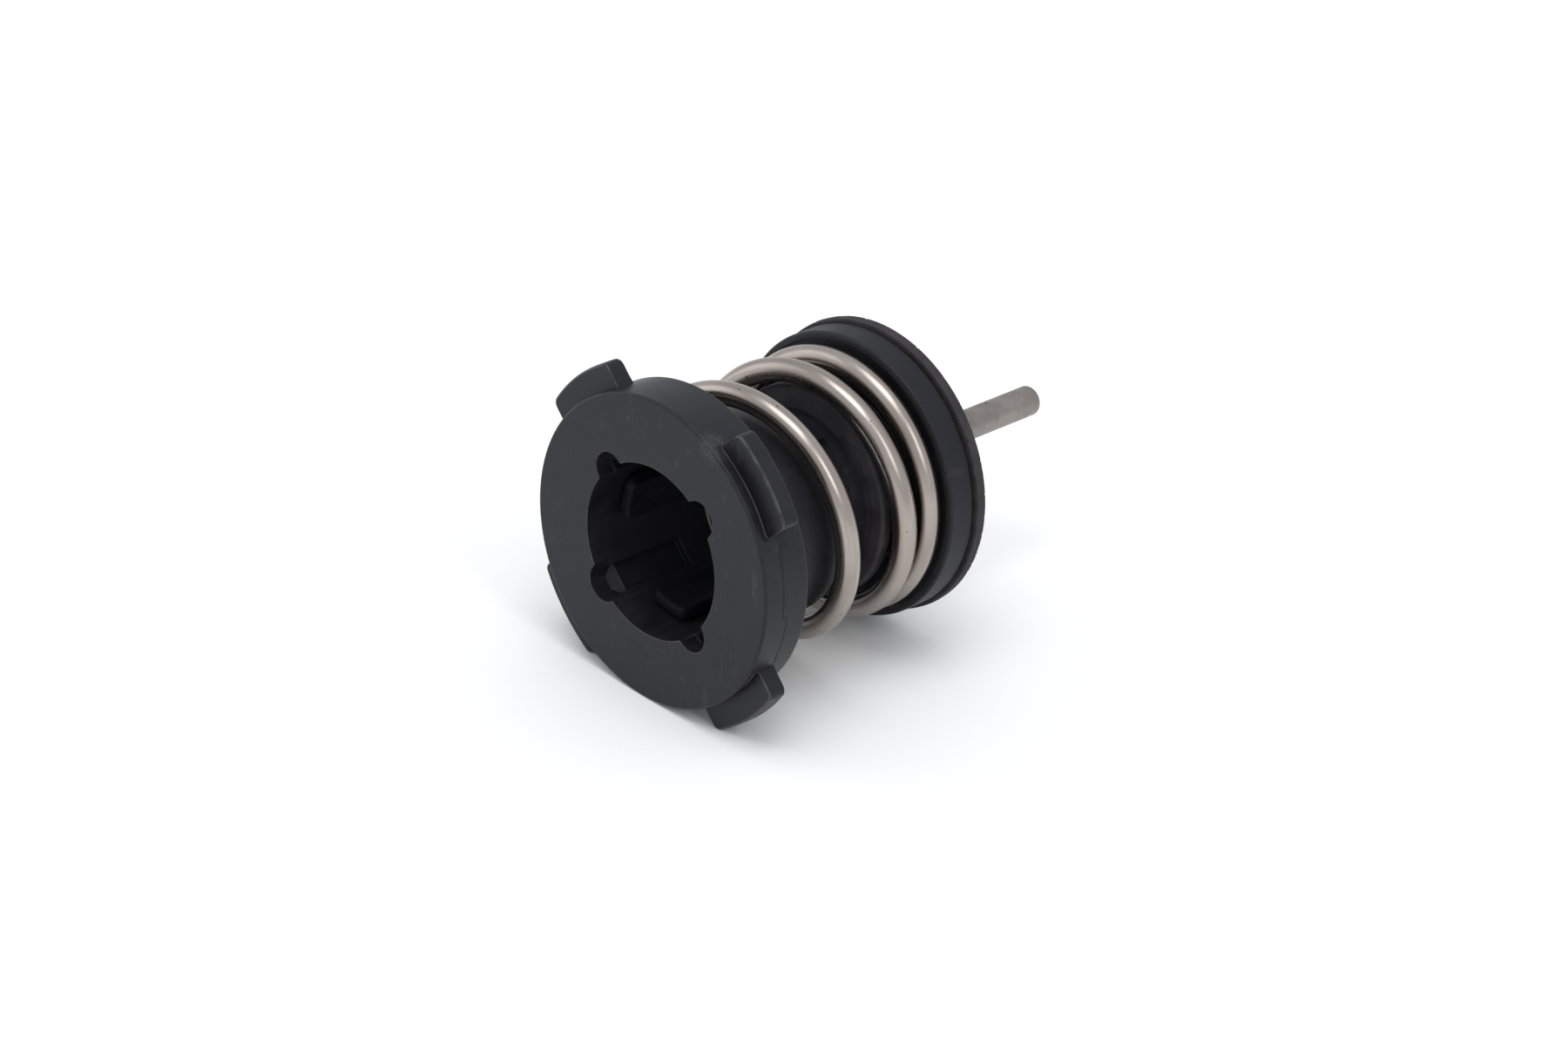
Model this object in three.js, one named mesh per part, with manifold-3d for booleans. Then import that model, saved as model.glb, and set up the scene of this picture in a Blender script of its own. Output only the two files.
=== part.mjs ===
// Plug-in diverter valve cartridge for a boiler's hydraulic block.
//
// A moulded seat body locks into its bore by four bayonet lugs. A compression spring pushes
// the valve carrier away from it, and a motor pushes the spindle back against the spring.
// The spindle axis lies along +Y: the front face looks to -Y and the spindle tip to +Y.
// The cartridge lies on its ring, with the origin under the middle of its box. Millimetres.

import * as THREE from 'three';
import { mergeVertices } from 'three/addons/utils/BufferGeometryUtils.js';
import Module from 'manifold-3d';

const wasm = await Module();
wasm.setup();

// ---------- driving dimensions ----------

const QUARTER = Math.PI / 2;
const LUG_ANGLE = Math.PI / 4;          // first lug, notch and channel, from +X towards +Z
const SIDES = 48;                       // facets round the large turned shapes
const SMALL_SIDES = 32;                 // facets round the spindle group
const GAP = 0.15;                       // clearance kept between separate solids
const BITE = 0.4;                       // how far joined features run into each other

// seat body, measured back from its front face
const RING_RADIUS = 16.1;
const RING_DEPTH = 5.6;
const RING_EDGE = 0.7;                  // rounding of the front outer edge
const PORT_RADIUS = 9.03;
const HUB_RADIUS = 10.9;
const HUB_END = 15.6;                   // rear rim of the hub: the front valve seat
const HUB_EDGE = 0.3;
const POCKET_FLOOR = 2.9;               // spring pocket behind the flange
const POCKET_RADIUS = 15.05;
const LUG_RADIUS = 18.75;
const LUG_FRONT = 1.5;
const LUG_BACK = 3.6;
const LUG_HALF_WIDTH = 4.95;            // the lugs have parallel sides
const LUG_CORNER = 0.7;
const RELIEF_DEPTH = 0.35;              // shallow relief in the ring in front of each lug
const RELIEF_LIP = 0.35;
const RELIEF_MARGIN = 0.3;              // it runs this far past both sides of its lug
const NOTCH_RADIUS = 1.92;
const NOTCH_CENTRE = 8.84;
const NOTCH_DEPTH = 2.1;
const NOTCH_SLOPE = 0.8;                // its floor slopes this far down into the channel
const CHANNEL_FLOOR = 9.82;             // distance of a channel's flat floor from the axis
const CHANNEL_HALF_WIDTH = 1.6;
const CHANNEL_END = 11.2;

// valve carrier: guide fingers, neck for the front seal, boss and valve plate
const FINGER_ANGLE = THREE.MathUtils.degToRad(-8);  // the first finger, from +X towards +Z
const FINGER_TIP = 4.0;
const FINGER_OUTER = 8.72;
const FINGER_INNER = 7.4;
const FINGER_HALF_ANGLE = THREE.MathUtils.degToRad(16.5);
const CAGE_END = 19.4;                  // where the fingers meet the carrier's closed base
const NECK_START = 20.8;
const NECK_RADIUS = 7.6;
const BOSS_START = 22.6;
const BOSS_RADIUS = 8.96;
const PLATE_FRONT = 26.6;               // a rim round the plate keeps the spring centred
const PLATE_BACK = 29.7;
const PLATE_RADIUS = 14.95;
const PLATE_CHAMFER = 0.3;
const SPRING_SEAT = 27.0;
const SPRING_SEAT_RADIUS = 14.2;
const PLATE_SPIGOT = 14.3;              // spigot behind the plate that carries the rear seal
const SPIGOT_BACK = 29.9;
const CORE_RADIUS = 6.2;                // hollow moulded into the back of the plate
const CORE_HUB_RADIUS = 4.2;
const CORE_FLOOR = 24.2;
const CORE_WEB = 1.3;

// rubber valve seals
const FRONT_SEAL_RADIUS = 11.05;
const REAR_SEAL_RADIUS = 15.4;
const REAR_SEAL_THICKNESS = 1.15;
const REAR_SEAL_BORE = 3.4;

// spindle group
const SPINDLE_RADIUS = 1.6;
const SPINDLE_TIP = 54.5;
const SPINDLE_EDGE = 0.6;
const HEAD_RADIUS = 2.7;
const HEAD_START = 20.6;
const HEAD_THICKNESS = 1.0;
const RETAINER_RADIUS = 10.6;
const RETAINER_THICKNESS = 1.0;
const RETAINER_DISH = 0.5;
const CLIP_RADIUS = 3.3;
const CLIP_THICKNESS = 0.6;
const CLIP_GRIP = 1.42;
const CLIP_GROOVE = 1.2;
const O_RING_CORD = 0.6;                // radius of the O-ring's section

// compression spring, closed coils at both ends, right-handed
const WIRE_RADIUS = 1.22;
const COIL_RADIUS = 12.75;
const COIL_FRONT = 4.22;                // centre of the wire in the closed front coil
const COIL_BACK = 25.68;
const COIL_SWEEP = THREE.MathUtils.degToRad(1437);
const COIL_START = THREE.MathUtils.degToRad(301.7);
const RISE_START = THREE.MathUtils.degToRad(176);   // sweep covered before the coils open
const RISE_SWEEP = THREE.MathUtils.degToRad(1260);
const EASE_IN = 0.1;                    // share of the rise that leaves the front coil gently
const EASE_OUT = 0.5;                   // share that closes onto the rear coil
const WIRE_SIDES = 10;
const STEPS_PER_TURN = 26;

// ---------- materials ----------

const glassFilledPlastic = new THREE.MeshStandardMaterial({ color: 0x35373b, roughness: 0.6 });
const carrierPlastic = new THREE.MeshStandardMaterial({ color: 0x303136, roughness: 0.55 });
const sealRubber = new THREE.MeshStandardMaterial({ color: 0x2d2c2a, roughness: 0.85 });
const springSteel = new THREE.MeshStandardMaterial({ color: 0xb9b2a8, roughness: 0.3, metalness: 1 });
const spindleSteel = new THREE.MeshStandardMaterial({ color: 0xaca79f, roughness: 0.5, metalness: 1 });
const clipSteel = new THREE.MeshStandardMaterial({ color: 0xa8a7a4, roughness: 0.35, metalness: 1 });

// ---------- solids ----------

// A closed geometry keeps only its corner points, merged, and is turned the right way out.
function closedGeometry(source) {
  const bare = source.clone();
  bare.deleteAttribute('normal');
  bare.deleteAttribute('uv');
  const merged = mergeVertices(bare, 1e-4);
  const corner = merged.attributes.position;
  const kept = [];
  let sixVolumes = 0;
  const a = new THREE.Vector3();
  const b = new THREE.Vector3();
  const c = new THREE.Vector3();
  for (let i = 0; i < merged.index.count; i += 3) {
    const triangle = [merged.index.getX(i), merged.index.getX(i + 1), merged.index.getX(i + 2)];
    if (new Set(triangle).size < 3) continue;
    a.fromBufferAttribute(corner, triangle[0]);
    b.fromBufferAttribute(corner, triangle[1]);
    c.fromBufferAttribute(corner, triangle[2]);
    sixVolumes += a.dot(b.cross(c));
    kept.push(triangle);
  }
  const outward = kept.map((t) => (sixVolumes < 0 ? [t[0], t[2], t[1]] : t));
  merged.setIndex(outward.flat());
  return merged;
}

function toSolid(geometry) {
  const closed = closedGeometry(geometry);
  return new wasm.Manifold(new wasm.Mesh({
    numProp: 3,
    vertProperties: new Float32Array(closed.attributes.position.array),
    triVerts: new Uint32Array(closed.index.array),
  }));
}

function toGeometry(solid) {
  const mesh = solid.getMesh();
  const geometry = new THREE.BufferGeometry();
  geometry.setAttribute('position', new THREE.BufferAttribute(mesh.vertProperties, 3));
  geometry.setIndex(new THREE.BufferAttribute(mesh.triVerts, 1));
  return geometry;
}

// Points of a quarter round from angle "from" to angle "to" about (radius, depth).
function corner(radius, depth, size, from, to, steps = 4) {
  const points = [];
  for (let i = 0; i <= steps; i += 1) {
    const angle = THREE.MathUtils.degToRad(from + (to - from) * i / steps);
    points.push([radius + size * Math.cos(angle), depth + size * Math.sin(angle)]);
  }
  return points;
}

// A closed outline of [radius, depth] points turned about the spindle axis.
function turned(outline, sides = SIDES) {
  const points = [...outline, outline[0]].map(([radius, depth]) => new THREE.Vector2(radius, depth));
  return new THREE.LatheGeometry(points, sides);
}

// A turned tube or washer with plain ends.
function tube(inner, outer, start, end, sides = SIDES) {
  return turned([[inner, start], [outer, start], [outer, end], [inner, end]], sides);
}

// A flat outline, drawn facing the front, extruded from depth start to depth end.
function plate(shape, start, end, curveSegments = 8) {
  const options = { depth: end - start, bevelEnabled: false, curveSegments };
  const geometry = new THREE.ExtrudeGeometry(shape, options);
  geometry.rotateX(QUARTER);
  geometry.translate(0, end, 0);
  return geometry;
}

// Outline of a sector between two radii, symmetric about an angle.
function sector(inner, outer, middle, halfAngle) {
  const shape = new THREE.Shape();
  const [low, high] = [middle - halfAngle, middle + halfAngle];
  shape.absarc(0, 0, outer, low, high, false);
  shape.absarc(0, 0, inner, high, low, true);
  shape.closePath();
  return shape;
}

// Outline between two radii with parallel sides, symmetric about an angle, its outer corners rounded.
function tab(inner, outer, middle, halfWidth, rounding) {
  const shape = new THREE.Shape();
  const reach = Math.sqrt(outer * outer - halfWidth * halfWidth);
  const side = Math.asin(halfWidth / outer);
  const foot = Math.asin(halfWidth / inner);
  const cut = rounding / outer;
  const at = (along, across) => [
    along * Math.cos(middle) - across * Math.sin(middle),
    along * Math.sin(middle) + across * Math.cos(middle),
  ];
  const arcStart = at(outer * Math.cos(side - cut), -outer * Math.sin(side - cut));
  shape.absarc(0, 0, inner, middle + foot, middle - foot, true);
  shape.lineTo(...at(reach - rounding, -halfWidth));
  shape.quadraticCurveTo(...at(reach, -halfWidth), ...arcStart);
  shape.absarc(0, 0, outer, middle - side + cut, middle + side - cut, false);
  shape.quadraticCurveTo(...at(reach, halfWidth), ...at(reach - rounding, halfWidth));
  shape.closePath();
  return shape;
}

const quarterTurns = [0, 1, 2, 3];

// ---------- seat body ----------

function seatBody() {
  const blank = turned([
    [PORT_RADIUS, 0],
    ...corner(RING_RADIUS - RING_EDGE, RING_EDGE, RING_EDGE, -90, 0),
    [RING_RADIUS, RING_DEPTH],
    [POCKET_RADIUS, RING_DEPTH],
    [POCKET_RADIUS, POCKET_FLOOR],
    [HUB_RADIUS, POCKET_FLOOR],
    ...corner(HUB_RADIUS - HUB_EDGE, HUB_END - HUB_EDGE, HUB_EDGE, 0, 90, 2),
    ...corner(PORT_RADIUS + HUB_EDGE, HUB_END - HUB_EDGE, HUB_EDGE, 90, 180, 2),
  ]);
  let body = toSolid(blank);
  for (const turn of quarterTurns) {
    const angle = LUG_ANGLE + turn * QUARTER;
    const foot = RING_RADIUS - RELIEF_DEPTH;
    const reliefWidth = LUG_HALF_WIDTH + RELIEF_MARGIN;
    const relief = tab(foot, RING_RADIUS + BITE, angle, reliefWidth, RELIEF_MARGIN);
    const lug = tab(foot - BITE, LUG_RADIUS, angle, LUG_HALF_WIDTH, LUG_CORNER);
    body = body.subtract(toSolid(plate(relief, RELIEF_LIP, LUG_FRONT)));
    body = body.add(toSolid(plate(lug, LUG_FRONT, LUG_BACK)));
    const slope = toSolid(notch(angle, NOTCH_DEPTH + NOTCH_SLOPE)).intersect(toSolid(notchSlope(angle)));
    body = body.subtract(toSolid(notch(angle, NOTCH_DEPTH)));
    body = body.subtract(slope);
    body = body.subtract(toSolid(channel(angle)));
  }
  return toGeometry(body);
}

// A key notch in the front face.
function notch(angle, depth) {
  const shape = new THREE.Shape();
  const [x, z] = [NOTCH_CENTRE * Math.cos(angle), NOTCH_CENTRE * Math.sin(angle)];
  shape.absarc(x, z, NOTCH_RADIUS, 0, 2 * Math.PI, false);
  return plate(shape, -BITE, depth, 12);
}

// The wedge between a notch's floor and its channel.
function notchSlope(angle) {
  const shape = new THREE.Shape();
  const inner = CHANNEL_FLOOR - BITE;
  const outer = CHANNEL_FLOOR + NOTCH_SLOPE + BITE;
  shape.moveTo(inner, NOTCH_DEPTH - BITE);
  shape.lineTo(outer, NOTCH_DEPTH - BITE);
  shape.lineTo(inner, NOTCH_DEPTH + NOTCH_SLOPE + BITE);
  shape.closePath();
  const geometry = new THREE.ExtrudeGeometry(shape, { depth: 2 * CHANNEL_HALF_WIDTH, bevelEnabled: false });
  geometry.translate(0, 0, -CHANNEL_HALF_WIDTH);
  geometry.rotateY(-angle);
  return geometry;
}

// A flat-floored channel that carries on from a notch along the bore.
function channel(angle) {
  const inner = PORT_RADIUS - 2 * BITE;
  const start = NOTCH_DEPTH - BITE;
  const depth = CHANNEL_FLOOR - inner;
  const geometry = new THREE.BoxGeometry(depth, CHANNEL_END - start, 2 * CHANNEL_HALF_WIDTH);
  geometry.translate(inner + depth / 2, (start + CHANNEL_END) / 2, 0);
  geometry.rotateY(-angle);
  return geometry;
}

// ---------- valve carrier ----------

function valveCarrier() {
  const bore = SPINDLE_RADIUS + GAP;
  const glandRadius = SPINDLE_RADIUS + 2 * O_RING_CORD + GAP;
  const glandFloor = SPIGOT_BACK - 2 * O_RING_CORD - GAP;
  const body = turned([
    [bore, HEAD_START + HEAD_THICKNESS + GAP],
    [HEAD_RADIUS + GAP, HEAD_START + HEAD_THICKNESS + GAP],
    [HEAD_RADIUS + GAP, CAGE_END],
    [FINGER_OUTER, CAGE_END],
    [FINGER_OUTER, NECK_START],
    [NECK_RADIUS, NECK_START],
    [NECK_RADIUS, BOSS_START],
    [BOSS_RADIUS, BOSS_START],
    [BOSS_RADIUS, SPRING_SEAT],
    [SPRING_SEAT_RADIUS, SPRING_SEAT],
    [SPRING_SEAT_RADIUS, PLATE_FRONT],
    [PLATE_RADIUS - PLATE_CHAMFER, PLATE_FRONT],
    [PLATE_RADIUS, PLATE_FRONT + PLATE_CHAMFER],
    [PLATE_RADIUS, PLATE_BACK],
    [PLATE_SPIGOT, PLATE_BACK],
    [PLATE_SPIGOT, SPIGOT_BACK],
    [glandRadius, SPIGOT_BACK],
    [glandRadius, glandFloor],
    [bore, glandFloor],
  ]);
  const hollow = tube(CORE_HUB_RADIUS, CORE_RADIUS, CORE_FLOOR, SPIGOT_BACK + BITE);
  let carrier = toSolid(body);
  let core = toSolid(hollow);
  for (const turn of quarterTurns) {
    const angle = FINGER_ANGLE + turn * QUARTER;
    const finger = sector(FINGER_INNER, FINGER_OUTER, angle, FINGER_HALF_ANGLE);
    const web = new THREE.BoxGeometry(2 * CORE_RADIUS, 2 * CORE_RADIUS, CORE_WEB);
    web.translate(CORE_RADIUS, CORE_FLOOR, 0);
    web.rotateY(-angle);
    carrier = carrier.add(toSolid(plate(finger, FINGER_TIP, CAGE_END + BITE)));
    core = core.subtract(toSolid(web));
  }
  return toGeometry(carrier.subtract(core));
}

// ---------- seals ----------

function frontSeal() {
  const start = NECK_START + GAP;
  const end = BOSS_START - GAP;
  const lip = (end - start) / 3;
  return turned([
    [NECK_RADIUS + GAP, start],
    ...corner(FRONT_SEAL_RADIUS - lip, start + lip, lip, -90, 0, 3),
    ...corner(FRONT_SEAL_RADIUS - lip, end - lip, lip, 0, 90, 3),
    [NECK_RADIUS + GAP, end],
  ]);
}

function rearSeal() {
  const start = SPIGOT_BACK + GAP;
  const edge = REAR_SEAL_THICKNESS / 5;
  const end = start + REAR_SEAL_THICKNESS;
  return turned([
    [REAR_SEAL_BORE, start],
    ...corner(REAR_SEAL_RADIUS - edge, start + edge, edge, -90, 0, 2),
    ...corner(REAR_SEAL_RADIUS - edge, end - edge, edge, 0, 90, 2),
    [REAR_SEAL_BORE, end],
  ]);
}

// ---------- spindle group ----------

const retainerStart = SPIGOT_BACK + 2 * GAP + REAR_SEAL_THICKNESS;
const clipStart = retainerStart + RETAINER_THICKNESS + GAP;

function spindle() {
  const clipEnd = clipStart + CLIP_THICKNESS;
  return turned([
    [0, HEAD_START],
    [HEAD_RADIUS, HEAD_START],
    [HEAD_RADIUS, HEAD_START + HEAD_THICKNESS],
    [SPINDLE_RADIUS, HEAD_START + HEAD_THICKNESS],
    [SPINDLE_RADIUS, clipStart - GAP],
    [CLIP_GROOVE, clipStart - GAP],
    [CLIP_GROOVE, clipEnd + GAP],
    [SPINDLE_RADIUS, clipEnd + GAP],
    ...corner(SPINDLE_RADIUS - SPINDLE_EDGE, SPINDLE_TIP - SPINDLE_EDGE, SPINDLE_EDGE, 0, 90),
    [0, SPINDLE_TIP],
  ], SMALL_SIDES);
}

// The steel disc that clamps the rear seal, dished towards its edge.
function sealRetainer() {
  const bore = SPINDLE_RADIUS + GAP;
  const end = retainerStart + RETAINER_THICKNESS;
  return turned([
    [bore, retainerStart],
    [RETAINER_RADIUS, retainerStart],
    [RETAINER_RADIUS, end - RETAINER_DISH],
    [RETAINER_RADIUS - RETAINER_DISH, end - RETAINER_DISH],
    [RETAINER_RADIUS - 3 * RETAINER_DISH, end],
    [bore, end],
  ], SIDES);
}

// An E-clip: a ring with an open mouth and two relief bays between its three gripping pads.
function eClip() {
  const mouth = THREE.MathUtils.degToRad(38);
  const bay = THREE.MathUtils.degToRad(26);
  const bayRadius = (CLIP_GRIP + CLIP_RADIUS) / 2;
  const shape = new THREE.Shape();
  shape.absarc(0, 0, CLIP_RADIUS, mouth, 2 * Math.PI - mouth, false);
  for (const side of [1, -1]) {
    const middle = Math.PI + side * THREE.MathUtils.degToRad(62);
    shape.absarc(0, 0, CLIP_GRIP, side > 0 ? 2 * Math.PI - mouth : Math.PI - bay, middle + bay, true);
    shape.absarc(0, 0, bayRadius, middle + bay, middle - bay, true);
  }
  shape.absarc(0, 0, CLIP_GRIP, Math.PI - THREE.MathUtils.degToRad(62) - bay, mouth, true);
  return plate(shape, clipStart, clipStart + CLIP_THICKNESS);
}

function spindleORing() {
  const depth = SPIGOT_BACK - O_RING_CORD - GAP / 2;
  const section = corner(SPINDLE_RADIUS + O_RING_CORD + GAP / 2, depth, O_RING_CORD, 0, 315, 7);
  return turned(section, SMALL_SIDES);
}

// ---------- spring ----------

// The wire's centre line: two closed end coils and an even rise between them.
class SpringLine extends THREE.Curve {
  getPoint(share, target = new THREE.Vector3()) {
    const sweep = share * COIL_SWEEP;
    const rise = THREE.MathUtils.clamp((sweep - RISE_START) / RISE_SWEEP, 0, 1);
    const depth = COIL_FRONT + (COIL_BACK - COIL_FRONT) * easedRise(rise);
    const angle = COIL_START - sweep;
    return target.set(COIL_RADIUS * Math.cos(angle), depth, COIL_RADIUS * Math.sin(angle));
  }
}

// Climbs from 0 to 1, evenly in the middle and gently at both ends.
function easedRise(t) {
  const slope = 1 / (1 - EASE_IN / 2 - EASE_OUT / 2);
  if (t < EASE_IN) return slope * t * t / (2 * EASE_IN);
  if (t > 1 - EASE_OUT) return 1 - slope * (1 - t) * (1 - t) / (2 * EASE_OUT);
  return slope * (t - EASE_IN / 2);
}

function spring() {
  const section = new THREE.Shape();
  for (let i = 0; i < WIRE_SIDES; i += 1) {
    const angle = 2 * Math.PI * i / WIRE_SIDES;
    const point = [WIRE_RADIUS * Math.cos(angle), WIRE_RADIUS * Math.sin(angle)];
    if (i === 0) section.moveTo(...point);
    else section.lineTo(...point);
  }
  section.closePath();
  const steps = Math.round(STEPS_PER_TURN * COIL_SWEEP / (2 * Math.PI));
  return new THREE.ExtrudeGeometry(section, { steps, extrudePath: new SpringLine() });
}

// ---------- assembly ----------

function piece(name, geometry, material) {
  const mesh = new THREE.Mesh(closedGeometry(geometry), material);
  mesh.name = name;
  return mesh;
}

const cartridge = new THREE.Group();
cartridge.add(piece('seat_body', seatBody(), glassFilledPlastic));
cartridge.add(piece('spring', spring(), springSteel));

const plunger = new THREE.Group();
plunger.add(piece('valve_carrier', valveCarrier(), carrierPlastic));
plunger.add(piece('front_seal', frontSeal(), sealRubber));
plunger.add(piece('rear_seal', rearSeal(), sealRubber));
plunger.add(piece('seal_retainer', sealRetainer(), clipSteel));
plunger.add(piece('spindle', spindle(), spindleSteel));
plunger.add(piece('spindle_o_ring', spindleORing(), sealRubber));
plunger.add(piece('e_clip', eClip(), clipSteel));
cartridge.add(plunger);

// At rest the ring touches the ground, clear of the lugs, and the origin halves the length.
cartridge.position.set(0, -SPINDLE_TIP / 2, RING_RADIUS);

export default cartridge;
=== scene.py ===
import math
import random

import bmesh
import bpy
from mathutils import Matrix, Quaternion, Vector


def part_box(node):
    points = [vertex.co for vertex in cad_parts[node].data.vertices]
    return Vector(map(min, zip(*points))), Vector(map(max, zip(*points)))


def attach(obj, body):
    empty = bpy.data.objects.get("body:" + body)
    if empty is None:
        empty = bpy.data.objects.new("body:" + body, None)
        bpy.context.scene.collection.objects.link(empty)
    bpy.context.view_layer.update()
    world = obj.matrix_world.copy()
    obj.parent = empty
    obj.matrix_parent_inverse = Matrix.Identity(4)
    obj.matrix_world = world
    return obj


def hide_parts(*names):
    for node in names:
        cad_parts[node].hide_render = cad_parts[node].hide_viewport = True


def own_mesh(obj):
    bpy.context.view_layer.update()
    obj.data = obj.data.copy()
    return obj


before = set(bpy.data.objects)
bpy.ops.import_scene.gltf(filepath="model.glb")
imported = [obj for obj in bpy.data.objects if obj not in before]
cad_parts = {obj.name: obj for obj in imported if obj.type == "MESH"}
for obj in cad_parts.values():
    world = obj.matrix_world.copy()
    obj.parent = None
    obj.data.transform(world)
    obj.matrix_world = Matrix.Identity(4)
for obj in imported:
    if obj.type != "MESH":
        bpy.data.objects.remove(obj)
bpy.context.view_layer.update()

# ---------- dimensions: millimetres behind the front face and from the spindle axis ----------

MM = 0.001
QUARTER = math.pi / 2
FRONT_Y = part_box("seat_body")[0][1]
AXIS_Z = (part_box("spindle")[0][2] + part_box("spindle")[1][2]) / 2
LUG_ANGLE = math.radians(45)
GAP = 0.15   # between pieces that touch on the real cartridge

# seat body
RING_RADIUS = 16.1
RING_DEPTH = 5.6
RING_ROUNDING = 0.55
PORT_RADIUS = 9.03
HUB_RADIUS = 10.9
HUB_END = 15.6
POCKET_FLOOR = 2.9
POCKET_RADIUS = 15.05
LUG_RADIUS = 18.75
LUG_FRONT = 1.5
LUG_BACK = 3.6
LUG_HALF_WIDTH = 4.95
LUG_CORNER = 0.7
RELIEF_DEPTH = 0.33
RELIEF_HALF_WIDTH = 5.25
RELIEF_START = 0.66
RELIEF_FLOOR = 0.78
RELIEF_END_RUN = 0.8
NOTCH_RADIUS = 1.92
NOTCH_CENTRE = 8.84
NOTCH_DEPTH = 2.1
NOTCH_SLOPE = 0.8
CHANNEL_FLOOR = 9.82
CHANNEL_HALF_WIDTH = 1.6
CHANNEL_END = 11.2
PARTING_DEPTH = 0.07
PARTING_WIDTH = 0.07
PARTING_LOW = 3.0
PARTING_HIGH = 2.4
PARTING_STEP = math.radians(-4)
PARTING_STEP_RUN = math.radians(1.2)
PARTING_REACH = math.radians(27)
PARTING_FADE = math.radians(6)
# pale flecks round the upper end of one lug's relief: partly scrapes, partly painted highlight
SCRAPE_AND_HIGHLIGHT_ANGLE = math.radians(63.4)
SCRAPE_AND_HIGHLIGHT_DEPTH = 0.8
SCRAPE_AND_HIGHLIGHT_REACH = 2.1

# valve carrier
FINGER_ANGLE = math.radians(-8)
FINGER_TIP = 4.0
FINGER_OUTER = 8.72
FINGER_INNER = 7.4
FINGER_HALF_ANGLE = math.radians(16.5)
FINGER_CORNER = 0.7
FINGER_SIDE_ROUNDING = 0.25
CAGE_END = 19.4
NECK_START = 20.8
NECK_RADIUS = 7.6
BOSS_START = 22.6
BOSS_RADIUS = 8.96
PLATE_FRONT = 26.6
PLATE_BACK = 29.7
PLATE_RADIUS = 14.95
SPRING_SEAT = 27.0
SPRING_SEAT_RADIUS = 14.2
SPIGOT_RADIUS = 14.3
SPIGOT_BACK = 29.9
CORE_INNER = 4.2
CORE_OUTER = 6.2
CORE_FLOOR = 24.2
CORE_WEB = 0.65
GLAND_RADIUS = 2.95
GLAND_FLOOR = 28.55
HEAD_RECESS = 2.85
HEAD_SEAT = 21.75
CARRIER_BORE = 1.75

# seals, spindle and retention
SPINDLE_RADIUS = 1.6
SPINDLE_HEAD = 2.7
HEAD_START = 20.6
HEAD_END = 21.6
SPINDLE_TIP = 54.5
CLIP_START = 32.5
CLIP_END = 33.1
CLIP_RADIUS = 3.3
CLIP_GRIP = 1.42
CLIP_GROOVE = 1.2
RETAINER_RADIUS = 10.6
RETAINER_START = 31.35
RETAINER_END = 32.35
RETAINER_STEP = 0.5
FRONT_SEAL_RADIUS = 11.05
BEAD_FOOT = 1.9
BEAD_TOP = 1.4
BEAD_HEIGHT = 0.05
REAR_SEAL_RADIUS = 15.4
REAR_SEAL_BORE = 3.4
REAR_SEAL_START = 30.05
REAR_SEAL_END = 31.2
REAR_SEAL_LAND = SPIGOT_BACK + 0.01
O_RING_CORD = 0.6
O_RING_GAP = 0.075

# spring
WIRE_RADIUS = 1.22
COIL_RADIUS = 12.75
COIL_FRONT = 4.22
COIL_BACK = 25.68
COIL_START = math.radians(301.7)
COIL_SWEEP = math.radians(1437)
RISE_START = math.radians(176)
RISE_SWEEP = math.radians(1260)
EASE_IN = 0.1
EASE_OUT = 0.5
WIRE_END_CHAMFER = 0.12


def place(radius, angle, depth):
    """The point at that radius, angle (from +X towards +Z) and depth behind the front face."""
    return Vector((
        radius * math.cos(angle) * MM,
        FRONT_Y + depth * MM,
        AXIS_Z + radius * math.sin(angle) * MM,
    ))


# ---------- mesh work ----------

SUPPORT = 0.05   # a support line this far beside each rounding keeps flat faces flat in shading
WORN_AND_HIGHLIT_UP_TO = 0.31   # only roundings up to this size are painted lighter, partly as rubbed wear and partly as painted highlight
FILLET_ROOM = 0.45   # a rounding takes at most this share of the shorter side next to it
SUPPORT_ROOM = 1.08   # and its support line at most this many times that room
TOO_SHORT = 1e-5
TOO_FLAT = 1e-3
MERGE_DISTANCE = 2e-7
SHARP_ANGLE = math.radians(34)


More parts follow.
